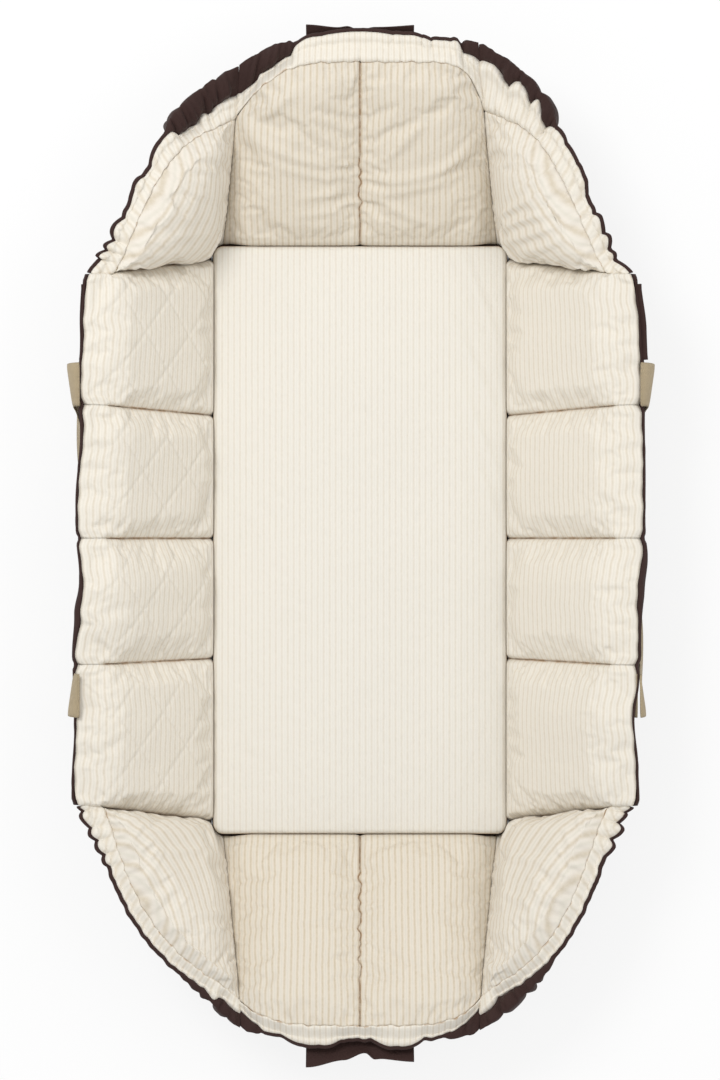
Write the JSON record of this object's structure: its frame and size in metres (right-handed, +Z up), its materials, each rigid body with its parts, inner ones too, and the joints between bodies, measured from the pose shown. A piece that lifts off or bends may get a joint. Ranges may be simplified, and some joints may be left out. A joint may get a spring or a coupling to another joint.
{
  "type": "infant lounger",
  "caption": "Padded nest for an infant with a flat mattress, pleated side and end walls that fold in, gathered corners and webbing handles.",
  "frame": {"origin": "on the floor under the middle of the base", "axes": "+X towards the lounger's right side, +Y towards its head end, +Z up"},
  "size_m": [0.6736, 1.1852, 0.1596],
  "materials": {
    "cream_lining": "matte",
    "dark_outer": "matte",
    "webbing": "matte",
    "filling": "matte",
    "stiffener": "matte",
    "elastic": "matte"
  },
  "bodies": {
    "base": {"base_panel": "dark_outer", "base_board": "stiffener", "base_piping": "dark_outer", "mattress_core": "filling", "mattress_cover": "cream_lining", "head_right_corner_pad": "cream_lining", "head_right_corner_shell": "dark_outer", "head_right_corner_casing_lining": "cream_lining", "head_right_corner_casing_outer": "dark_outer", "head_right_corner_elastic": "elastic", "head_left_corner_pad": "cream_lining", "head_left_corner_shell": "dark_outer", "head_left_corner_casing_lining": "cream_lining", "head_left_corner_casing_outer": "dark_outer", "head_left_corner_elastic": "elastic", "foot_right_corner_pad": "cream_lining", "foot_right_corner_shell": "dark_outer", "foot_right_corner_casing_lining": "cream_lining", "foot_right_corner_casing_outer": "dark_outer", "foot_right_corner_elastic": "elastic", "foot_left_corner_pad": "cream_lining", "foot_left_corner_shell": "dark_outer", "foot_left_corner_casing_lining": "cream_lining", "foot_left_corner_casing_outer": "dark_outer", "foot_left_corner_elastic": "elastic"},
    "right_wall": {"right_wall_shell": "dark_outer", "right_wall_band": "cream_lining", "right_wall_pad_1": "cream_lining", "right_wall_pad_2": "cream_lining", "right_wall_pad_3": "cream_lining", "right_wall_pad_4": "cream_lining", "right_riser_head": "webbing", "right_riser_foot": "webbing", "right_fastener": "dark_outer"},
    "left_wall": {"left_wall_shell": "dark_outer", "left_wall_band": "cream_lining", "left_wall_pad_1": "cream_lining", "left_wall_pad_2": "cream_lining", "left_wall_pad_3": "cream_lining", "left_wall_pad_4": "cream_lining", "left_riser_head": "webbing", "left_riser_foot": "webbing", "left_fastener": "dark_outer"},
    "head_end": {"head_shell": "dark_outer", "head_pad_left": "cream_lining", "head_pad_right": "cream_lining", "head_casing_lining": "cream_lining", "head_casing_outer": "dark_outer", "head_elastic": "elastic", "head_strap": "dark_outer"},
    "foot_end": {"foot_shell": "dark_outer", "foot_pad_left": "cream_lining", "foot_pad_right": "cream_lining", "foot_casing_lining": "cream_lining", "foot_casing_outer": "dark_outer", "foot_elastic": "elastic", "foot_strap": "dark_outer"},
    "right_handle": {"right_handle": "webbing"},
    "left_handle": {"left_handle": "webbing"}
  },
  "joints": [
    {"name": "right_wall_fold", "type": "hinge", "parent": "base", "child": "right_wall", "pos_m": [0.18, 0, 0.0028], "axis": [0, -1, 0], "range_deg": [0, 24]},
    {"name": "left_wall_fold", "type": "hinge", "parent": "base", "child": "left_wall", "pos_m": [-0.18, 0, 0.0028], "axis": [0, 1, 0], "range_deg": [0, 24]},
    {"name": "head_fold", "type": "hinge", "parent": "base", "child": "head_end", "pos_m": [0, 0.353, 0.0028], "axis": [1, 0, 0], "range_deg": [0, 20]},
    {"name": "foot_fold", "type": "hinge", "parent": "base", "child": "foot_end", "pos_m": [0, -0.353, 0.0028], "axis": [-1, 0, 0], "range_deg": [0, 20]},
    {"name": "right_handle_swing", "type": "hinge", "parent": "right_wall", "child": "right_handle", "pos_m": [0.32076, 0, 0.1542], "axis": [0, -1, 0], "range_deg": [0, 180]},
    {"name": "left_handle_swing", "type": "hinge", "parent": "left_wall", "child": "left_handle", "pos_m": [-0.32076, 0, 0.1542], "axis": [0, 1, 0], "range_deg": [0, 180]}
  ]
}
